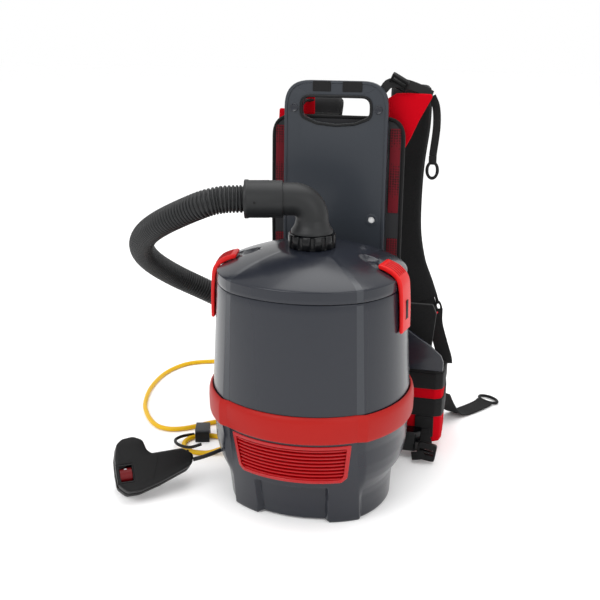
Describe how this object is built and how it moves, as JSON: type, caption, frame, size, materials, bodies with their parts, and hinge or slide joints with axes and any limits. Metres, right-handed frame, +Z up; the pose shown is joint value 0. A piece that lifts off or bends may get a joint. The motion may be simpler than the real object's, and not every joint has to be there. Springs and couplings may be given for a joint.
{
  "type": "backpack vacuum cleaner",
  "caption": "Backpack vacuum cleaner: upright drum with latched lid, motor base with exhaust grille, back plate, padded harness, swivel hose, mains lead and switch handset",
  "frame": {"origin": "on the floor plane, on the vertical axis of the drum: the centre of the flat motor bay cover it stands on", "axes": "+Z up the drum axis; -Y is the front, where the exhaust grille is; the harness is on +Y; +X is to the right seen from the front"},
  "size_m": [0.6587, 0.6645, 0.6051],
  "materials": {
    "slate_plastic": "satin gloss moulded plastic",
    "belt_plastic": "satin moulded plastic",
    "grille_plastic": "satin moulded plastic",
    "latch_plastic": "satin moulded plastic",
    "black_plastic": "fine grained moulded plastic",
    "hose_plastic": "satin moulded plastic",
    "seal_rubber": "matt rubber",
    "red_fabric": "woven nylon",
    "black_fabric": "padded mesh fabric",
    "webbing": "woven webbing",
    "cord_jacket": "smooth cable jacket",
    "steel": "bright",
    "copper": "wound copper and laminations",
    "bag_paper": "filter fleece",
    "filter_cloth": "filter cloth"
  },
  "bodies": {
    "machine": {"base_housing": "slate_plastic", "motor_bay_cover": "slate_plastic", "exhaust_grille": "grille_plastic", "belt_band": "belt_plastic", "drum": "slate_plastic", "lid_seal": "seal_rubber", "lid": "slate_plastic", "inlet_spigot": "black_plastic", "latch_pin_left": "steel", "latch_pin_right": "steel", "motor_casing": "black_plastic", "motor_stator": "copper", "bag_filter": "filter_cloth", "dust_bag": "bag_paper", "suction_hose": "hose_plastic", "hose_connector": "black_plastic", "power_cord": "cord_jacket", "power_cord_coil": "cord_jacket", "power_plug": "black_plastic", "cord_gland": "black_plastic", "handset_cable": "seal_rubber", "cord_clip": "black_plastic", "handset_front_shell": "black_plastic", "handset_rear_shell": "black_plastic", "back_plate": "slate_plastic", "plate_screw_left": "steel", "plate_screw_right": "steel", "hip_wing_left": "slate_plastic", "hip_wing_right": "slate_plastic", "lower_frame": "black_plastic", "back_pad": "black_fabric", "lumbar_pad": "black_fabric", "shoulder_pad_left": "black_fabric", "hip_pad_left": "red_fabric", "load_lifter_left": "webbing", "lower_strap_left": "webbing", "sternum_strap_left": "webbing", "waist_strap_left": "webbing", "waist_ring_left": "black_plastic", "sternum_ring_left": "black_plastic", "strap_adjuster_left": "black_plastic", "hip_buckle_left": "black_plastic", "shoulder_pad_right": "black_fabric", "hip_pad_right": "red_fabric", "load_lifter_right": "webbing", "lower_strap_right": "webbing", "sternum_strap_right": "webbing", "waist_strap_right": "webbing", "waist_ring_right": "black_plastic", "sternum_ring_right": "black_plastic", "strap_adjuster_right": "black_plastic", "hip_buckle_right": "black_plastic"},
    "elbow": {"hose_elbow": "hose_plastic", "hose_cuff": "hose_plastic"},
    "lock_ring": {"lock_ring": "black_plastic"},
    "latch_left": {"latch_left": "latch_plastic"},
    "latch_right": {"latch_right": "latch_plastic"},
    "rotor": {"motor_armature": "steel", "fan_impeller": "black_plastic"},
    "rocker": {"rocker_switch": "grille_plastic"}
  },
  "joints": [
    {"name": "hose_swivel", "type": "hinge", "parent": "machine", "child": "elbow", "pos_m": [0, 0, 0.4], "axis": [0, 0, 1], "range_deg": [-30, 30]},
    {"name": "lock_ring_turn", "type": "hinge", "parent": "machine", "child": "lock_ring", "pos_m": [0, 0, 0.391], "axis": [0, 0, 1], "range_deg": [0, 60]},
    {"name": "latch_left_swing", "type": "hinge", "parent": "machine", "child": "latch_left", "pos_m": [-0.14053, -0.02478, 0.2775], "axis": [0.1736, -0.9848, 0], "range_deg": [0, 70]},
    {"name": "latch_right_swing", "type": "hinge", "parent": "machine", "child": "latch_right", "pos_m": [0.14053, -0.02478, 0.2775], "axis": [0.1736, 0.9848, 0], "range_deg": [0, 70]},
    {"name": "motor_spin", "type": "hinge", "parent": "machine", "child": "rotor", "pos_m": [0, 0, 0.11], "axis": [0, 0, 1], "continuous": true},
    {"name": "rocker_tilt", "type": "hinge", "parent": "machine", "child": "rocker", "pos_m": [-0.2572, -0.11503, 0.03838], "axis": [0.81, 0.5855, -0.0332], "range_deg": [-9, 9]}
  ]
}
